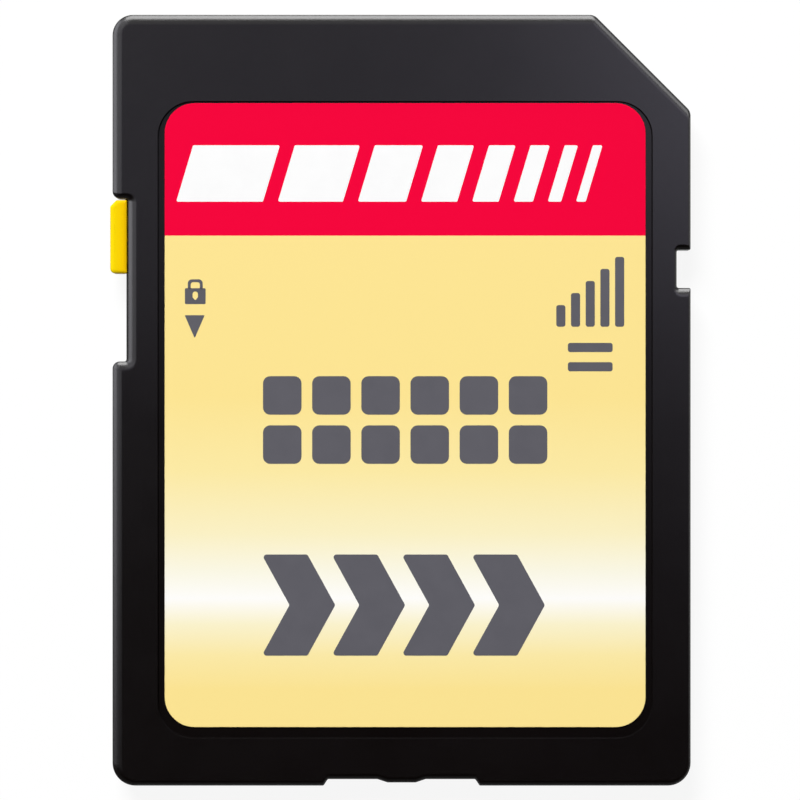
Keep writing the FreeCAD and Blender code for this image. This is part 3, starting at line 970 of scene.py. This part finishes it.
def flat_sign(*outlines):
    """A film of ink between outlines; one inside another is left bare."""
    weld = 0.0005
    curve = bpy.data.curves.new("sign", "CURVE")
    curve.dimensions = "2D"
    curve.fill_mode = "BOTH"
    curve.extrude = ink_depth / 2
    for points in outlines:
        spline = curve.splines.new("POLY")
        spline.points.add(len(points) - 1)
        spline.points.foreach_set("co", [value for x, y in points for value in (x, y, 0, 1)])
        spline.use_cyclic_u = True
    mesh = evaluated(on_bench(curve))
    mesh.transform(Matrix.Translation((0, 0, ink_base + ink_depth / 2)))
    bm = bmesh.new()
    bm.from_mesh(mesh)
    bmesh.ops.remove_doubles(bm, verts=bm.verts, dist=weld)
    bmesh.ops.recalc_face_normals(bm, faces=bm.faces)
    bm.to_mesh(mesh)
    bm.free()
    return mesh


def padlock():
    """Outlines of a closed padlock: its body with a keyhole, and its bow."""
    body_left = -8.99
    body_right = -8.13
    body_low = 3.99
    body_top = 4.65
    body_radius = 0.05
    bow_top = 5.02
    bow_half = 0.31
    bow_bar = 0.12
    bow_lap = 0.02
    bow_radius = 0.17
    bow_inner_radius = 0.1
    key_half = 0.11
    key_tip = 4.14
    key_low = 4.27
    key_top = 4.51
    key_radius = 0.1
    key_waist_radius = 0.05
    key_tip_radius = 0.04
    middle = (body_left + body_right) / 2
    body = rounded(box_outline(body_left, body_low, body_right, body_top, body_radius))
    keyhole = rounded([
        (middle - key_half, key_low, key_waist_radius),
        (middle, key_tip, key_tip_radius),
        (middle + key_half, key_low, key_waist_radius),
        (middle + key_half, key_top, key_radius),
        (middle - key_half, key_top, key_radius),
    ])
    bow_foot = body_top - bow_lap
    bow = rounded([
        (middle - bow_half, bow_foot, 0),
        (middle - bow_half + bow_bar, bow_foot, 0),
        (middle - bow_half + bow_bar, bow_top - bow_bar, bow_inner_radius),
        (middle + bow_half - bow_bar, bow_top - bow_bar, bow_inner_radius),
        (middle + bow_half - bow_bar, bow_foot, 0),
        (middle + bow_half, bow_foot, 0),
        (middle + bow_half, bow_top, bow_radius),
        (middle - bow_half, bow_top, bow_radius),
    ])
    return body, keyhole, bow


def pointer():
    """The outline of a triangle that points the way the slider locks."""
    middle = -8.585
    half = 0.415
    top = 3.53
    tip = 2.57
    radius = 0.02
    return rounded([(middle - half, top, radius), (middle, tip, radius), (middle + half, top, radius)])


lock_body, keyhole, lock_bow = padlock()
new_piece("lock_sign_body", flat_sign(lock_body, keyhole), grey_ink, "label_print")
new_piece("lock_sign_bow", flat_sign(lock_bow), grey_ink, "label_print")
new_piece("lock_sign_pointer", flat_sign(pointer()), grey_ink, "label_print")


# Studio: a white floor, a soft key lamp for the colours, and lamps that only the gloss shows:
# reflectors overhead that grade the black face, strips and fills lower down that light its edges.
# The surround is bright near the horizon and dark overhead, with a faint haze between.

def seen_by(wire):
    """Whether a ray comes from the camera, from a gloss, through glass or from a matt surface."""
    kinds = ("Is Camera Ray", "Is Glossy Ray", "Is Transmission Ray", "Is Diffuse Ray")
    return [wire.node("ShaderNodeLightPath", output=kind) for kind in kinds]


def white_floor(wire):
    """White to the eye, with a soft shadow round the card and a deeper one between the ribs of its
    comb, and clear from below. A gloss sees it brighter towards the nose."""
    shadow_reach = 160
    shadow = 0.1
    matt = (shadow, shadow, shadow, 1)
    black = (0, 0, 0, 1)
    grade_length = 40
    dimmest = 0.25
    comb_edge = 0.7
    comb_fade = 1.6
    comb_shadow = 0.85
    spot = wire.node("ShaderNodeTexCoord", output="Object")
    from_card = wire.node("ShaderNodeVectorMath", {"operation": "LENGTH"}, {0: spot}, "Value")
    far = (from_card / (shadow_reach * MM)).clip()
    x = wire.place("X")
    y = wire.place("Y")
    towards_nose = (0.5 + y / grade_length).clip()
    from_cut = (right + nose - corner_cut - x - y) * math.sqrt(0.5)
    under_comb = ((nose - y).lesser(from_cut) / comb_fade).clip()
    in_comb = ((right - comb_edge - abs(x)) > 0) * (y > lock_high)
    camera_ray, glossy_ray, transmission_ray, _ = seen_by(wire)
    to_eye = (camera_ray + transmission_ray).clip() * (1 - shadow + shadow * far)
    to_gloss = glossy_ray * (dimmest + (1 - dimmest) * towards_nose)
    glow = to_eye * (1 - comb_shadow * in_comb * under_comb) + to_gloss
    lit = wire.node("ShaderNodeEmission", None, {"Strength": glow})
    pale = wire.node("ShaderNodeBsdfDiffuse", None, {"Color": wire.mix(far, matt, black)})
    upper_side = wire.node("ShaderNodeAddShader", None, {0: lit, 1: pale})
    lower_side = wire.node("ShaderNodeBsdfTransparent")
    from_below = wire.node("ShaderNodeNewGeometry", output="Backfacing")
    return wire.node("ShaderNodeMixShader", None, {0: from_below, 1: upper_side, 2: lower_side})


half_floor = 1500 * MM
floor_drop = 0.02 * MM
floor_outline = box_outline(-half_floor, -half_floor, half_floor, half_floor, 0)
floor_mesh = bpy.data.meshes.new("floor")
floor_mesh.from_pydata([(x, y, -floor_drop) for x, y, _ in floor_outline], [], [(0, 1, 2, 3)])
floor_mesh.materials.append(new_finish("white_floor", white_floor))
floor = bpy.data.objects.new("floor", floor_mesh)
bpy.context.scene.collection.objects.link(floor)
floor.visible_diffuse = False
floor.visible_shadow = False

wall_top = 0.2
nadir_level = 0.35
haze_level = 0.1
haze_top = 0.75
haze_fade = 0.15
world = bpy.data.worlds.new("surround")
bpy.context.scene.world = world
world.use_nodes = True
world.node_tree.nodes.clear()
sky = Wire(world.node_tree)
direction = sky.node("ShaderNodeTexCoord", output="Generated")
rise = sky.node("ShaderNodeSeparateXYZ", None, {"Vector": direction}, "Z")
over_horizon = 1 - (rise / wall_top).clip()
under_horizon = nadir_level + (1 - nadir_level) * (1 + rise)
walls = over_horizon.lesser(under_horizon)
haze = haze_level * ((haze_top - rise) / haze_fade).clip()
camera_ray, glossy_ray, transmission_ray, diffuse_ray = seen_by(sky)
to_gloss = glossy_ray * walls.greater(haze)
strength = (camera_ray + to_gloss + (transmission_ray + diffuse_ray) * walls).clip()
backdrop = sky.node("ShaderNodeBackground", None, {"Color": (1, 1, 1, 1), "Strength": strength})
sky.node("ShaderNodeOutputWorld", None, {"Surface": backdrop})


def lamp(name, place, aim, size, watts, glossy=True, colour=(1, 1, 1)):
    """A soft rectangular lamp in millimetres, which the gloss shows or which lights the colours."""
    data = bpy.data.lights.new(name, "AREA")
    data.color = colour
    data.shape = "RECTANGLE"
    data.size = size[0] * MM
    data.size_y = size[1] * MM
    data.energy = watts
    light = bpy.data.objects.new(name, data)
    bpy.context.scene.collection.objects.link(light)
    light.location = Vector(place) * MM
    light.rotation_euler = (Vector(aim) - Vector(place)).to_track_quat("-Z", "Y").to_euler()
    light.visible_camera = False
    light.visible_glossy = glossy
    light.visible_diffuse = not glossy


cool = (0.82, 0.80, 1.0)
silver = (0.93, 0.93, 1.0)
lamp("key", place=(-250, 700, 900), aim=(0, 0, 2), size=(500, 500), watts=18.5, glossy=False)
lamp("nose_reflector", place=(0, 22, 95), aim=(0, 22, 0), size=(90, 36), watts=0.0041, colour=cool)
lamp("right_reflector", place=(37, 34, 100), aim=(37, 34, 0), size=(48, 42), watts=0.0065, colour=cool)
lamp("side_reflector", place=(37, 14, 104), aim=(37, 14, 0), size=(48, 50), watts=0.0012, colour=cool)
lamp("nose_strip", place=(0, 315, 246), aim=(0, 0, 2), size=(300, 150), watts=1.34)
lamp("left_strip", place=(-311, 180, 252), aim=(0, 180, 2), size=(400, 155), watts=0.7, colour=silver)
lamp("left_fill", place=(-182, 180, 358), aim=(0, 180, 2), size=(400, 185), watts=0.28, colour=silver)
lamp("nose_fill", place=(0, 182, 358), aim=(0, 0, 2), size=(300, 185), watts=0.09)
lamp("cut_strip", place=(223, 223, 246), aim=(0, 0, 2), size=(200, 150), watts=0.25)
lamp("right_strip", place=(280, 200, 290), aim=(0, 200, 2), size=(400, 300), watts=0.35, colour=silver)

frame_width = 33.28
framed_level = 1.6  # the height at which the picture is that wide
aim_x = -0.064
aim_y = 0.01
camera_data = bpy.data.cameras.new("camera")
camera_data.lens = 200
camera_data.sensor_width = 36
camera_height = framed_level + frame_width * camera_data.lens / camera_data.sensor_width
camera = bpy.data.objects.new("camera", camera_data)
bpy.context.scene.collection.objects.link(camera)
camera.location = (aim_x * MM, aim_y * MM, camera_height * MM)
bpy.context.scene.camera = camera
bpy.context.scene.view_settings.view_transform = "Standard"
